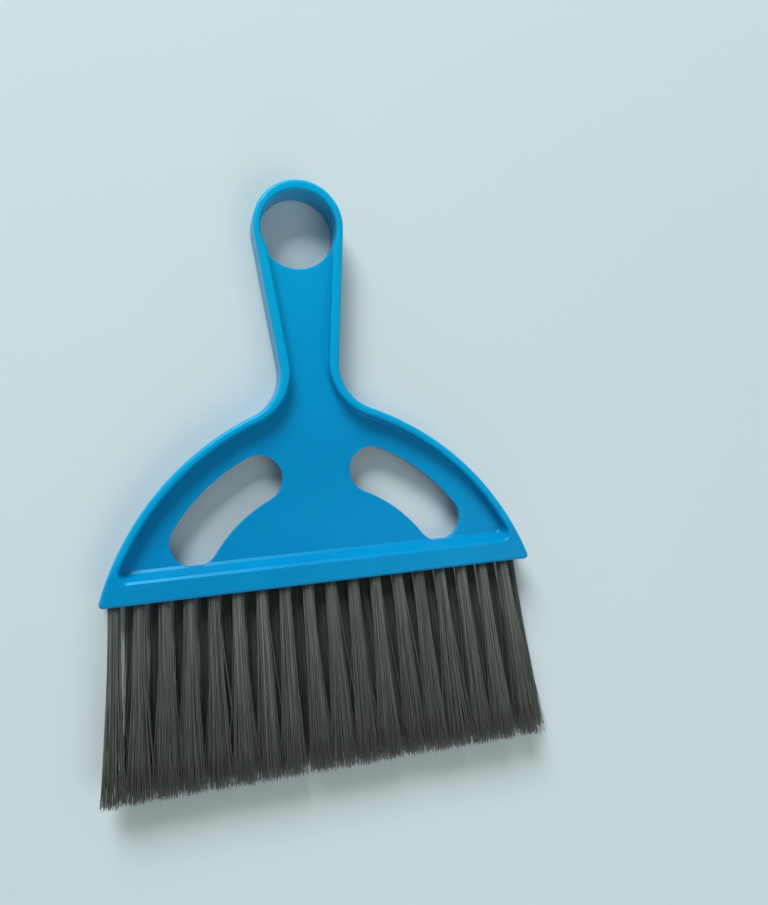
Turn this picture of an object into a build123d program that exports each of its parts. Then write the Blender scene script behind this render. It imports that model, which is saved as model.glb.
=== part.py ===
from build123d import *
import math
import os

# Small hand broom: one moulded body with two staggered rows of stapled bristle tufts.
# It lies flat on its back, face up, with the hanging loop towards +Y. All lengths are in
# millimetres. The pieces are drawn with Y = 0 at the lower face of the tuft bar and Z = 0 at
# mid thickness, and are moved to the origin below the middle of the whole brush at the end.

# Outline of the moulded body
body_length = 120.3
bar_width = 130.6
shoulder_radius = 83.2
arch_height = 56.1
loop_radius = 13.5
handle_taper = 6.4
neck_radius = 14.0
corner_radius = 1.2

# Thickness of the moulded body: a web in the middle, open recesses on both faces
web_thickness = 2.2
recess_depth = 4.7
rim_width = 2.3
handle_rim_width = 2.9
rim_front_radius = 1.1
rim_back_chamfer = 0.5
rim_inner_chamfer = 0.5
rim_root_chamfer = 0.6
recess_corner_radius = 2.4
bar_shoulder_height = 6.5
bar_root_height = 8.7

# Hanging hole
hang_hole_radius = 11.4
hang_hole_crown = 3.0

# Arc-shaped slots through the web, drawn for the right hand side
slot_centre_x = -4.3
slot_centre_y = -13.7
slot_arc_radius = 50.9
slot_width = 14.2
slot_start_angle = 34.8
slot_sweep = 30.0

# Two rows of tuft holes in the lower face of the bar, the front one shifted to the left and the
# back one to the right
tuft_end_margin = 4.5
row_count = 18
row_spacing = 5.2
row_shift = 2.2
tuft_hole_radius = 1.8
tuft_hole_depth = 5.2
seat_clearance = 0.05

# Bristles: each tuft has an inner and an outer ring of strands, which spread towards the tips
bristle_length = 56.2
trim_spread = 1.6
fan_out = 5.0
row_splay = 0.3
inner_ring_count = 2
inner_root_radius = 0.5
inner_tip_width = 1.4
inner_tip_depth = 1.2
outer_ring_count = 8
outer_root_radius = 1.25
outer_tip_width = 3.1
outer_tip_depth = 2.5
strand_radius = 0.32
strand_root_depth = 0.6
root_sides = 8
golden_share = 0.618034

# Flat wire anchors across the folds of the tufts
anchor_height = 1.5
anchor_thickness = 0.35
anchor_inset = 0.8

# How far cutting tools run past the faces that they cut
overrun = 1.0

body_thickness = web_thickness + 2 * recess_depth
loop_centre_y = body_length - loop_radius
hang_hole_y = body_length - hang_hole_crown - hang_hole_radius
last_tuft_x = bar_width / 2 - tuft_end_margin
tuft_pitch = 2 * (last_tuft_x - row_shift) / (row_count - 1)
anchor_y = tuft_hole_depth - anchor_inset - anchor_height / 2
to_origin = Pos(0, (bristle_length - body_length) / 2, body_thickness / 2)


def arch():
    """Plate outline: a pointed arch of two shoulder arcs on the straight lower edge."""
    corner = bar_width / 2
    lower_edge = Line((-corner, 0), (corner, 0))
    right_arc = RadiusArc((corner, 0), (0, arch_height), -shoulder_radius)
    left_arc = RadiusArc((0, arch_height), (-corner, 0), -shoulder_radius)
    return make_face([lower_edge, right_arc, left_arc])


def handle(top_y, inset):
    """Handle outline between its two straight sides, moved inwards by the inset."""
    foot_y = arch_height - neck_radius
    slope = math.tan(math.radians(handle_taper))
    side_at_loop_centre = (loop_radius - inset) / math.cos(math.radians(handle_taper))
    top_half = side_at_loop_centre - (loop_centre_y - top_y) * slope
    foot_half = side_at_loop_centre - (loop_centre_y - foot_y) * slope
    return make_face(
        Polyline(
            (-foot_half, foot_y),
            (foot_half, foot_y),
            (top_half, top_y),
            (-top_half, top_y),
            close=True,
        )
    )


def body_outline():
    """Outer silhouette of the moulding."""
    taper = math.radians(handle_taper)
    tangent_y = loop_centre_y - loop_radius * math.sin(taper)
    loop = Pos(0, loop_centre_y) * Circle(loop_radius)
    outline = arch() + handle(tangent_y, 0) + loop
    low_to_high = outline.vertices().sort_by(Axis.Y)
    outline = fillet(low_to_high[2:4], neck_radius)
    low_to_high = outline.vertices().sort_by(Axis.Y)
    return fillet(low_to_high[0:2], corner_radius)


def recess_outline():
    """Inner edge of the raised rim. Its upper end opens into the hanging hole."""
    inner_arch = offset(arch(), -rim_width)
    outline = inner_arch + handle(hang_hole_y, handle_rim_width)
    low_to_high = outline.vertices().sort_by(Axis.Y)
    return fillet(low_to_high[2:4], neck_radius + rim_width)


def tuft_bar():
    """The bar that the recesses leave along the lower edge. It slopes down to the web, and its slopes
    run on straight past the front and back faces."""
    half_web = web_thickness / 2
    top = body_thickness / 2 + overrun
    slope = (bar_root_height - bar_shoulder_height) / recess_depth
    top_height = bar_shoulder_height - overrun * slope
    profile = make_face(
        Polyline(
            (0, -top),
            (0, top),
            (top_height, top),
            (bar_root_height, half_web),
            (bar_root_height, -half_web),
            (top_height, -top),
            close=True,
        )
    )
    across = Plane(origin=(-bar_width / 2, 0, 0), x_dir=(0, 1, 0), z_dir=(1, 0, 0))
    return extrude(across * profile, bar_width)


def recesses():
    """The open pockets in the front and back faces, with rounded corners at both ends of the bar."""
    pocket = extrude(recess_outline(), recess_depth + overrun)
    front = Pos(0, 0, web_thickness / 2) * pocket - tuft_bar()
    left_to_right = front.edges().sort_by(Axis.X)
    front = fillet([left_to_right[0], left_to_right[-1]], recess_corner_radius)
    return [front, mirror(front, Plane.XY)]


def slots():
    """Arc-shaped slots through the web. The bar cuts their lower ends flat."""
    centre_line = CenterArc((slot_centre_x, slot_centre_y), slot_arc_radius, slot_start_angle, slot_sweep)
    through = extrude(SlotArc(centre_line, slot_width), body_thickness / 2, both=True)
    right = through - tuft_bar()
    return [right, mirror(right, Plane.YZ)]


def tuft_places():
    """Row name, number in the row, and X and Z of every tuft. The back row fills the gaps."""
    first_x = -(row_count - 1) / 2 * tuft_pitch
    rows = (
        ("front", -row_shift, row_spacing / 2),
        ("back", row_shift, -row_spacing / 2),
    )
    for name, shift, z in rows:
        for number in range(row_count):
            yield name, number + 1, first_x + shift + number * tuft_pitch, z


def up_from_bar_face(x, z, y=0):
    """Plane on the tuft's own line, facing from the bristles into the bar."""
    return Plane(origin=(x, y, z), x_dir=(1, 0, 0), z_dir=(0, 1, 0))


def handle_body():
    """The one-piece moulding."""
    body = extrude(body_outline(), body_thickness / 2, both=True)
    body -= recesses()
    for z in (-web_thickness / 2, web_thickness / 2):
        body = chamfer(body.edges().filter_by_position(Axis.Z, z, z), rim_root_chamfer)
    hole = Pos(0, hang_hole_y) * Circle(hang_hole_radius)
    body -= extrude(hole, body_thickness, both=True)
    body -= slots()
    front_face = body.faces().sort_by(Axis.Z)[-1]
    body = fillet(front_face.outer_wire().edges(), rim_front_radius)
    back_face = body.faces().sort_by(Axis.Z)[0]
    body = chamfer(back_face.outer_wire().edges(), rim_back_chamfer)
    for end in (0, -1):
        rim_face = body.faces().sort_by(Axis.Z)[end]
        body = chamfer(rim_face.inner_wires()[0].edges(), rim_inner_chamfer)
    drills = [
        extrude(up_from_bar_face(x, z, -overrun) * Circle(tuft_hole_radius), tuft_hole_depth + overrun)
        for _, _, x, z in tuft_places()
    ]
    return body - drills


def strand(x, z, tip_x, tip_z, length):
    """One bristle from inside the root to its cut tip."""
    foot = up_from_bar_face(x, z, strand_root_depth) * RegularPolygon(strand_radius, 3, rotation=90)
    run = Vector(tip_x - x, -length - strand_root_depth, tip_z - z)
    return Solid.extrude(foot.face(), run)


def ring(count, root_radius, tip_width, tip_depth):
    """Offsets of a ring of strands from the tuft's line: round at its root and oval at its tip."""
    for number in range(count):
        angle = math.pi / 2 + 2 * math.pi * number / count
        across = math.cos(angle)
        up = math.sin(angle)
        yield across * root_radius, up * root_radius, across * tip_width, up * tip_depth


def tuft(index, x, z):
    """A packed root that fills its hole, with a slot for its anchor and two rings of strands."""
    root_face = up_from_bar_face(x, z) * RegularPolygon(tuft_hole_radius - seat_clearance, root_sides)
    root = extrude(root_face, tuft_hole_depth - seat_clearance)
    slot = Box(
        2 * tuft_hole_radius,
        anchor_height + 2 * seat_clearance,
        anchor_thickness + 2 * seat_clearance,
    )
    root -= Pos(x, anchor_y, z) * slot
    tip_x = x + fan_out * x / last_tuft_x
    tip_z = z + math.copysign(row_splay, z)
    offsets = [
        *ring(inner_ring_count, inner_root_radius, inner_tip_width, inner_tip_depth),
        *ring(outer_ring_count, outer_root_radius, outer_tip_width, outer_tip_depth),
    ]
    strands = []
    for number, (root_across, root_up, tip_across, tip_up) in enumerate(offsets):
        trim_share = ((index * len(offsets) + number) * golden_share) % 1
        length = bristle_length - trim_spread * trim_share
        strands.append(strand(x + root_across, z + root_up, tip_x + tip_across, tip_z + tip_up, length))
    return root + strands


def anchors():
    """A flat wire anchor for each tuft, just shorter than its hole is wide."""
    half_chord = math.sqrt(tuft_hole_radius**2 - (anchor_thickness / 2) ** 2)
    anchor = Box(2 * (half_chord - seat_clearance), anchor_height, anchor_thickness)
    return [Pos(x, anchor_y, z) * anchor for _, _, x, z in tuft_places()]


def write(name, shape):
    """Move a finished piece into the brush's frame and write it out."""
    export_step(to_origin * shape, os.path.join("parts", name + ".step"))


os.makedirs("parts", exist_ok=True)
write("handle_body", handle_body())
write("tuft_anchors", Compound(anchors()))
for index, (row, number, x, z) in enumerate(tuft_places()):
    write(f"tuft_{row}_{number:02d}", tuft(index, x, z))
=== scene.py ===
import math

import bmesh
import bpy
import numpy as np
from mathutils import Matrix, Vector


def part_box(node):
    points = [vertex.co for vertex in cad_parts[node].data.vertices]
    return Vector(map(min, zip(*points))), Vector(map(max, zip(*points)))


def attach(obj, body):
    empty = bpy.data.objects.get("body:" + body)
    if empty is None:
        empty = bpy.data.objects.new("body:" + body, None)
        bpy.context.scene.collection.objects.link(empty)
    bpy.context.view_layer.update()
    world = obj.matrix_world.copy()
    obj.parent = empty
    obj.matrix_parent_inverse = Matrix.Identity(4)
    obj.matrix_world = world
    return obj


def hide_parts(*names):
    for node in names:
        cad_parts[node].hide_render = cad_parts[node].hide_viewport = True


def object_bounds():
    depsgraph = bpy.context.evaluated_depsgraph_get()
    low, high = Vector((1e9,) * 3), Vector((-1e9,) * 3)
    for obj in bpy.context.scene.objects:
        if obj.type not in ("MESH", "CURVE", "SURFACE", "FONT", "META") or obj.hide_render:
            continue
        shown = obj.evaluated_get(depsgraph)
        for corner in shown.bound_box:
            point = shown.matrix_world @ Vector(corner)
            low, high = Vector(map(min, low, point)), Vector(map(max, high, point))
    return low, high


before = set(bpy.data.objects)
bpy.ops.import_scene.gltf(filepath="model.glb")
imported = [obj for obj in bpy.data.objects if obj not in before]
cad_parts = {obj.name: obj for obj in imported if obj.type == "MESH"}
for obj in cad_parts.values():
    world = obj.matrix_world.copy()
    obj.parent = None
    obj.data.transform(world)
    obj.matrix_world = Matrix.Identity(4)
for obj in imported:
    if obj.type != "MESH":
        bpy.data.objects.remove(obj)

# A small hand broom that lies on its back on a pale floor, seen from above as in the photograph.
# The moulded body is a copy of the CAD mesh with softly rounded edges, each CAD tuft is replaced by a
# bundle of fine filaments, and the hidden wire anchors are the CAD's own. Places and lengths are in
# metres, in the frame of the CAD model, where nothing else is said.

cad_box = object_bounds()

# Camera, fitted to the outline of the broom in the photograph. Its sensor and lens are in millimetres.
camera_place = Vector((-0.03877, 0.00737, 0.24683))
camera_forward = Vector((0.2436, -0.0090, -0.9698))
camera_up = Vector((0.0796, 0.9968, 0.0107))
sensor_size = 36.0
lens_length = 31.82
nearest_seen = 0.01

# Moulded body: how its edges are softened
merge_distance = 0.000002
flat_angle = math.radians(0.3)
edge_angle = math.radians(24)
edge_rounding = 0.00018
edge_segments = 2

# Plastic. Its two body blues are mottled, and worn marks and painted light are mixed over them.
deep_blue = (0, 0.232, 0.490)
mid_blue = (0, 0.262, 0.535)
worn_blue = (0.02, 0.34, 0.60)
# The handle blue and the rim blue are painted light, not the plastic's own colour.
painted_light_handle_blue = (0, 0.345, 0.60)
painted_glow_rim_blue = (0, 0.38, 0.62)
worn_share = 0.25
painted_light_handle_share = 0.75
painted_rim_glow_share = 0.5
worn_noise = (0.66, 0.8)
gloss_noise = (0.3, 0.75)
plastic_roughness = (0.26, 0.38)
highlight_tint = (0.25, 0.8, 1, 1)

# The plastic lets light through: a depth, and the shares of it that red, green and blue light reach. Its
# colour has painted light: it is made paler in the thin rims, which rise from the web above the bar, and
# up the handle.
light_depth = 0.003
light_depth_shares = (0.1, 0.7, 1)
painted_glow_start = 0.007
painted_glow_end = 0.0116
bar_top = -0.0233
handle_start = 0.012
handle_end = 0.062

# Tufts: the holes' places and the fan towards the tips. The lean is smaller across the thickness.
row_heights = {"front": 0.0084, "back": 0.0032}
row_shifts = {"front": -0.0022, "back": 0.0022}
tuft_pitch = 0.0068941
row_splay = 0.0003
mid_height = 0.0058
tuft_radius = 0.0017
tip_width = 0.0038
tip_depth = 0.0025
fan_share = 0.074
root_depth = 0.002
tuft_lean = 0.0004
lean_shares = (1, 0.4)

# Filaments. Strays wander less across the thickness than along the bar.
random_seed = 7
filaments_per_tuft = 180
filament_radius = 0.000094
radius_spread = 0.15
filament_segments = 7
filament_sides = 3
point_spacing_power = 1.3
tip_taper = 0.7
taper_power = 3
flare_power = 2
bow_size = 0.00035
wave_share = 0.5
tip_scatter = 0.0006
trim_depth = 0.0011
trim_power = 1.6
stray_share = 0.05
stray_size = 0.0026
stray_shares = (1, 0.3)
edge_margin = 0.0002
golden_angle = math.pi * (3 - math.sqrt(5))

# Shades of the filaments: the shape of the beta distribution that they follow, how much of their shade the
# innermost ones keep, which paints shade between the rows, and the part of the length over which the tips
# darken
shade_spread = (2, 3)
innermost_painted_shade_keep = 0.3
dark_fibre = (0.050, 0.058, 0.053)
pale_fibre = (0.29, 0.335, 0.30)
tip_fibre = (0.068, 0.066, 0.055)
tip_share = 0.75
tip_range = (0.3, 1)
fibre_roughness = (0.34, 0.5)

# Wire anchors
dark_steel = (0.42, 0.43, 0.45)
pale_steel = (0.62, 0.62, 0.63)
steel_roughness = (0.25, 0.45)

# The middle range of a noise, and a share from none to all
middle_noise = (0.3, 0.7)
none_to_all = (0, 1)

# Floor and surroundings
floor_half_size = 0.8
floor_height = -0.0001
dark_floor = (0.54, 0.64, 0.65)
pale_floor = (0.58, 0.68, 0.69)
surround_light = (0.93, 0.97, 1, 1)
surround_strength = 0.26
surround_seen = (0.56, 0.67, 0.68, 1)

# Lamps: the place, width and power of each. All of them face a target on the floor, under the broom.
lamp_target = Vector((0, 0, 0))
lamps = {
    "key_lamp": ((-0.5, 1.7, 1.12), 0.9, 50),
    "fill_lamp": ((0.35, -0.45, 0.75), 0.6, 2),
    "low_lamp": ((0, -1.4, 0.4), 0.7, 2.5),
}


def new_material(name):
    """A material, its node tree with a shader and an output, and that shader."""
    material = bpy.data.materials.new(name)
    material.use_nodes = True
    shader = material.node_tree.nodes["Principled BSDF"]
    return material, material.node_tree, shader


def set_inputs(node, **values):
    """Sets some of a node's inputs. Underscores in their names stand for spaces."""
    for name, value in values.items():
        node.inputs[name.replace("_", " ")].default_value = value


def add_node(tree, kind, **values):
    """A new node with some of its inputs set."""
    node = tree.nodes.new(kind)
    set_inputs(node, **values)
    return node


def own_place(tree):
    """The place on the object, in its own coordinates."""
    return tree.nodes.new("ShaderNodeTexCoord").outputs["Object"]


def add_noise(tree, place, **values):
    """Noise over a place."""
    node = add_node(tree, "ShaderNodeTexNoise", **values)
    tree.links.new(place, node.inputs["Vector"])
    return node.outputs["Fac"]


def read_attribute(tree, name):
    """A number that the mesh carries at each point."""
    node = tree.nodes.new("ShaderNodeAttribute")
    node.attribute_name = name
    return node.outputs["Fac"]


def add_ramp(tree, source, source_range, result_range):
    """Maps the range of a source to a range of results, and holds it there outside."""
    low, high = source_range
    low_result, high_result = result_range
    node = tree.nodes.new("ShaderNodeMapRange")
    set_inputs(node, From_Min=low, From_Max=high, To_Min=low_result, To_Max=high_result)
    tree.links.new(source, node.inputs["Value"])
    return node.outputs["Result"]


def combine(tree, operation, one, other):
    """Joins two values by a mathematical operation."""
    node = tree.nodes.new("ShaderNodeMath")
    node.operation = operation
    tree.links.new(one, node.inputs[0])
    tree.links.new(other, node.inputs[1])
    return node.outputs[0]


def mix_colours(tree, share, low, high):
    """Mixes two colours by a share from a node. Each colour is a tuple or comes from a node too."""
    node = tree.nodes.new("ShaderNodeMix")
    node.data_type = "RGBA"
    share_place, low_place, high_place, result_place = 0, 6, 7, 2
    for place, colour in ((low_place, low), (high_place, high)):
        if isinstance(colour, tuple):
            node.inputs[place].default_value = (*colour, 1)
        else:
            tree.links.new(colour, node.inputs[place])
    tree.links.new(share, node.inputs[share_place])
    return node.outputs[result_place]


def add_bump(tree, height, **values):
    """A bump node that takes its height from another node."""
    node = add_node(tree, "ShaderNodeBump", **values)
    tree.links.new(height, node.inputs["Height"])
    return node


def plastic_colour(tree, mottle, marks, place):
    """Mottled blue with worn marks, and painted light that makes it paler up the handle and in the thin
    rims.
    """
    axes = tree.nodes.new("ShaderNodeSeparateXYZ")
    tree.links.new(place, axes.inputs["Vector"])
    y = axes.outputs["Y"]
    z = axes.outputs["Z"]

    share = add_ramp(tree, mottle, middle_noise, none_to_all)
    colour = mix_colours(tree, share, deep_blue, mid_blue)
    worn = add_ramp(tree, marks, worn_noise, (0, worn_share))
    colour = mix_colours(tree, worn, colour, worn_blue)
    # Painted light: paler up the handle.
    painted_handle_light = add_ramp(tree, y, (handle_start, handle_end), (0, painted_light_handle_share))
    colour = mix_colours(tree, painted_handle_light, colour, painted_light_handle_blue)
    # Painted glow: paler in the rims that rise above the web, above the bar.
    raised = add_ramp(tree, z, (painted_glow_start, painted_glow_end), (0, painted_rim_glow_share))
    above_bar = add_ramp(tree, y, (bar_top, bar_top + painted_glow_end - painted_glow_start), none_to_all)
    painted_rim_glow = combine(tree, "MULTIPLY", raised, above_bar)
    return mix_colours(tree, painted_rim_glow, colour, painted_glow_rim_blue)


def moulded_plastic():
    """Glossy blue polypropylene with a faint mottle, light handling marks, and painted light up the handle
    and in the thin rims.
    """
    material, tree, shader = new_material("moulded_blue_plastic")
    place = own_place(tree)
    mottle = add_noise(tree, place, Scale=34, Detail=3, Roughness=0.5)
    marks = add_noise(tree, place, Scale=260, Detail=6, Roughness=0.7)
    grain = add_noise(tree, place, Scale=2200, Detail=2, Roughness=0.6)
    tree.links.new(plastic_colour(tree, mottle, marks, place), shader.inputs["Base Color"])
    tree.links.new(add_ramp(tree, marks, gloss_noise, plastic_roughness), shader.inputs["Roughness"])

    fine_bump = add_bump(tree, grain, Strength=0.04, Distance=0.00002)
    wave_bump = add_bump(tree, mottle, Strength=0.2, Distance=0.0002)
    tree.links.new(fine_bump.outputs["Normal"], wave_bump.inputs["Normal"])
    tree.links.new(wave_bump.outputs["Normal"], shader.inputs["Normal"])
    set_inputs(
        shader,
        IOR=1.49,
        Specular_IOR_Level=0.3,
        Specular_Tint=highlight_tint,
        Subsurface_Weight=0.5,
        Subsurface_Radius=light_depth_shares,
        Subsurface_Scale=light_depth,
    )
    return material


def bristle_fibre():
    """Charcoal synthetic fibre. Its shade differs from filament to filament, has painted shade on the
    inner sides of the rows, and darkens at the tips.
    """
    material, tree, shader = new_material("charcoal_bristle_fibre")
    streaks = add_noise(tree, own_place(tree), Scale=700, Detail=2, Roughness=0.6)
    base = mix_colours(tree, read_attribute(tree, "shade"), dark_fibre, pale_fibre)
    tips = add_ramp(tree, read_attribute(tree, "along"), tip_range, (0, tip_share))
    tree.links.new(mix_colours(tree, tips, base, tip_fibre), shader.inputs["Base Color"])
    tree.links.new(add_ramp(tree, streaks, middle_noise, fibre_roughness), shader.inputs["Roughness"])
    bump = add_bump(tree, streaks, Strength=0.2, Distance=0.00002)
    tree.links.new(bump.outputs["Normal"], shader.inputs["Normal"])
    set_inputs(shader, IOR=1.5)
    return material


def anchor_steel():
    """Drawn steel wire, hidden in the bar."""
    material, tree, shader = new_material("anchor_wire_steel")
    lines = add_noise(tree, own_place(tree), Scale=1500, Detail=3)
    share = add_ramp(tree, lines, middle_noise, none_to_all)
    tree.links.new(mix_colours(tree, share, dark_steel, pale_steel), shader.inputs["Base Color"])
    tree.links.new(add_ramp(tree, lines, middle_noise, steel_roughness), shader.inputs["Roughness"])
    set_inputs(shader, Metallic=1)
    return material


def floor_material():
    """Plain pale floor with a faint cloud in its colour."""
    material, tree, shader = new_material("pale_floor")
    cloud = add_noise(tree, own_place(tree), Scale=3, Detail=2)
    tree.links.new(mix_colours(tree, cloud, dark_floor, pale_floor), shader.inputs["Base Color"])
    set_inputs(shader, Roughness=0.75)
    return material


def shade_smooth(mesh):
    """Shades every face of a mesh smoothly."""
    mesh.polygons.foreach_set("use_smooth", np.ones(len(mesh.polygons), bool))


def show(item):
    """Puts an object in the scene."""
    bpy.context.scene.collection.objects.link(item)


def add_body(material):
    """Replaces the CAD body by a copy of its mesh with rounded edges and even shading."""
    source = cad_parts["handle_body"]
    shape = bmesh.new()
    shape.from_mesh(source.data)
    bmesh.ops.remove_doubles(shape, verts=shape.verts, dist=merge_distance)
    bmesh.ops.dissolve_limit(shape, angle_limit=flat_angle, verts=shape.verts, edges=shape.edges)
    mesh = bpy.data.meshes.new("moulded_body")
    shape.to_mesh(mesh)
    shape.free()
    if "custom_normal" in mesh.attributes:
        mesh.attributes.remove(mesh.attributes["custom_normal"])
    shade_smooth(mesh)
    mesh.materials.clear()
    mesh.materials.append(material)

    piece = bpy.data.objects.new("moulded_body", mesh)
    piece.matrix_world = source.matrix_world
    show(piece)
    rounding = piece.modifiers.new("rounding", "BEVEL")
    rounding.limit_method = "ANGLE"
    rounding.angle_limit = edge_angle
    rounding.width = edge_rounding
    rounding.segments = edge_segments
    shading = piece.modifiers.new("shading", "WEIGHTED_NORMAL")
    shading.keep_sharp = False
    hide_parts("handle_body")
    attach(piece, "root")


def filament_disc(rng):
    """Places of a tuft's filaments, packed evenly in a disc of radius 1 that is turned at random."""
    number = np.arange(filaments_per_tuft)
    reach = np.sqrt((number + 0.5) / filaments_per_tuft)
    turn = number * golden_angle + rng.uniform(0, 2 * math.pi)
    return np.stack([reach * np.cos(turn), reach * np.sin(turn)], axis=1)


def tuft_tips(rng, disc, x, z, low, high):
    """Where the middle of a tuft ends, where its filaments end around that, and how far strays among
    them end from there. Strays stay between low and high. All in X and Z."""
    tip = disc * (tip_width, tip_depth) + rng.normal(0, tip_scatter, disc.shape)
    lean = rng.normal(0, tuft_lean, 2) * lean_shares
    splay = math.copysign(row_splay, z - mid_height)
    strays = rng.random(filaments_per_tuft) < stray_share
    stray = strays[:, None] * rng.normal(0, stray_size, disc.shape) * stray_shares
    tip_centre = np.array([x, z]) + (fan_share * x + lean[0], splay + lean[1])
    tip_offset = np.clip(tip_centre + tip + stray, low[::2], high[::2]) - tip_centre - tip
    return tip_centre, tip, tip_offset


def tuft_lines(rng, x, z):
    """Centre lines of a tuft's filaments, as an array of filament, point and coordinate, and how far
    each filament lies towards the outside of the brush, from 0 to 1."""
    bar_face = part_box("handle_body")[0].y
    tip_face = cad_box[0].y
    low = np.array(cad_box[0]) + edge_margin
    high = np.array(cad_box[1]) - edge_margin
    low[1] = tip_face

    disc = filament_disc(rng)
    # Painted shade: how far a filament lies from the inside of the brush sets how much its colour is
    # darkened.
    outward = 0.5 + 0.5 * disc[:, 1] * math.copysign(1, z - mid_height)
    root = disc * tuft_radius
    centre = np.array([x, z])
    tip_centre, tip, tip_offset = tuft_tips(rng, disc, x, z, low, high)
    bow = rng.normal(0, bow_size, disc.shape)
    wave = rng.normal(0, bow_size * wave_share, disc.shape)
    start = np.full(filaments_per_tuft, bar_face + root_depth)
    end = tip_face + trim_depth * rng.random(filaments_per_tuft) ** trim_power

    share = np.linspace(0, 1, filament_segments + 1)[None, :, None] ** point_spacing_power
    flare = share**flare_power
    side = centre + (tip_centre - centre + tip_offset[:, None]) * share
    side = side + root[:, None] * (1 - flare) + tip[:, None] * flare
    side = side + bow[:, None] * np.sin(math.pi * share) * share
    side = side + wave[:, None] * np.sin(2 * math.pi * share) * share
    length = start[:, None] + (end - start)[:, None] * share[..., 0]
    lines = np.stack([side[..., 0], length, side[..., 1]], axis=2)
    return np.clip(lines, low, high), outward


def filament_mesh(name, rng, lines, outward):
    """Thin tubes along the lines, closed at both ends. Each point has a shade, with painted shade on the
    inner filaments, and its share of the filament's length."""
    count, points = lines.shape[:2]
    along_line = np.linspace(0, 1, points)
    spin = rng.uniform(0, 2 * math.pi, (count, 1, 1))
    angle = spin + 2 * math.pi * np.arange(filament_sides)[None, None, :] / filament_sides
    taper = 1 - (1 - tip_taper) * along_line**taper_power
    thickness = rng.uniform(1 - radius_spread, 1 + radius_spread, (count, 1, 1))
    radius = filament_radius * taper[None, :, None] * thickness
    across = radius * np.cos(angle)
    up = radius * np.sin(angle)
    offset = np.stack([across, np.zeros_like(across), up], axis=3)
    vertices = (lines[:, :, None] + offset).reshape(-1, 3)

    index = np.arange(count * points * filament_sides).reshape(count, points, filament_sides)
    following = np.roll(index, -1, axis=2)
    sides = np.stack([index[:, :-1], index[:, 1:], following[:, 1:], following[:, :-1]], axis=3)
    faces = sides.reshape(-1, 4).tolist() + index[:, 0].tolist() + index[:, -1, ::-1].tolist()

    mesh = bpy.data.meshes.new(name)
    mesh.from_pydata(vertices.tolist(), [], faces)
    shade_smooth(mesh)
    # Painted shade: the filaments on the inner sides of the two rows, between them, are darker.
    light = innermost_painted_shade_keep + (1 - innermost_painted_shade_keep) * outward
    shade = np.repeat(rng.beta(*shade_spread, count) * light, points * filament_sides)
    along = np.tile(np.repeat(along_line, filament_sides), count)
    for title, values in (("shade", shade), ("along", along)):
        attribute = mesh.attributes.new(title, "FLOAT", "POINT")
        attribute.data.foreach_set("value", values.astype(np.float32))
    mesh.update()
    return mesh


def add_tufts(material):
    """Replaces each CAD tuft by its bundle of filaments, the back row first."""
    rng = np.random.default_rng(random_seed)
    for row in ("back", "front"):
        nodes = sorted(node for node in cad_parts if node.startswith(f"tuft_{row}_"))
        half_row = (len(nodes) - 1) / 2
        for number, node in enumerate(nodes):
            x = row_shifts[row] + (number - half_row) * tuft_pitch
            name = node.replace("tuft", "bristles")
            mesh = filament_mesh(name, rng, *tuft_lines(rng, x, row_heights[row]))
            mesh.materials.append(material)
            piece = bpy.data.objects.new(name, mesh)
            show(piece)
            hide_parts(node)
            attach(piece, "root")


def dress(node, material):
    """Gives a CAD node a material."""
    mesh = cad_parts[node].data
    mesh.materials.clear()
    mesh.materials.append(material)


def add_floor(material):
    """A square floor just under the broom."""
    half = floor_half_size
    low = floor_height
    corners = [(-half, -half, low), (half, -half, low), (half, half, low), (-half, half, low)]
    mesh = bpy.data.meshes.new("floor")
    mesh.from_pydata(corners, [], [(0, 1, 2, 3)])
    mesh.materials.append(material)
    floor = bpy.data.objects.new("floor", mesh)
    show(floor)


def add_lamp(name, place, size, power):
    """A soft square lamp that faces the lamps' target."""
    lamp = bpy.data.lights.new(name, "AREA")
    lamp.size = size
    lamp.energy = power
    item = bpy.data.objects.new(name, lamp)
    item.location = place
    item.rotation_euler = (lamp_target - Vector(place)).to_track_quat("-Z", "Y").to_euler()
    show(item)


def add_world():
    """Even pale surroundings. The camera, gloss and glass see them in a colour near the floor's."""
    world = bpy.data.worlds.new("studio")
    world.use_nodes = True
    tree = world.node_tree
    tree.nodes.clear()
    light = add_node(tree, "ShaderNodeBackground", Color=surround_light, Strength=surround_strength)
    seen = add_node(tree, "ShaderNodeBackground", Color=surround_seen, Strength=1)
    rays = tree.nodes.new("ShaderNodeLightPath").outputs
    direct = combine(tree, "MAXIMUM", rays["Is Camera Ray"], rays["Is Glossy Ray"])
    direct = combine(tree, "MAXIMUM", direct, rays["Is Transmission Ray"])
    mix = tree.nodes.new("ShaderNodeMixShader")
    for place, source in enumerate((direct, light.outputs[0], seen.outputs[0])):
        tree.links.new(source, mix.inputs[place])
    output = tree.nodes.new("ShaderNodeOutputWorld")
    tree.links.new(mix.outputs[0], output.inputs["Surface"])
    bpy.context.scene.world = world


def add_camera():
    """The photograph's camera."""
    lens = bpy.data.cameras.new("photo_camera")
    lens.sensor_width = sensor_size
    lens.lens = lens_length
    lens.clip_start = nearest_seen
    camera = bpy.data.objects.new("photo_camera", lens)
    back = -camera_forward.normalized()
    right = camera_up.cross(back).normalized()
    turned = Matrix((right, back.cross(right), back)).transposed().to_4x4()
    camera.matrix_world = Matrix.Translation(camera_place) @ turned
    show(camera)
    bpy.context.scene.camera = camera


add_camera()
add_world()
add_floor(floor_material())
for name, (place, size, power) in lamps.items():
    add_lamp(name, place, size, power)
add_body(moulded_plastic())
dress("tuft_anchors", anchor_steel())
add_tufts(bristle_fibre())
bpy.context.scene.view_settings.view_transform = "Standard"
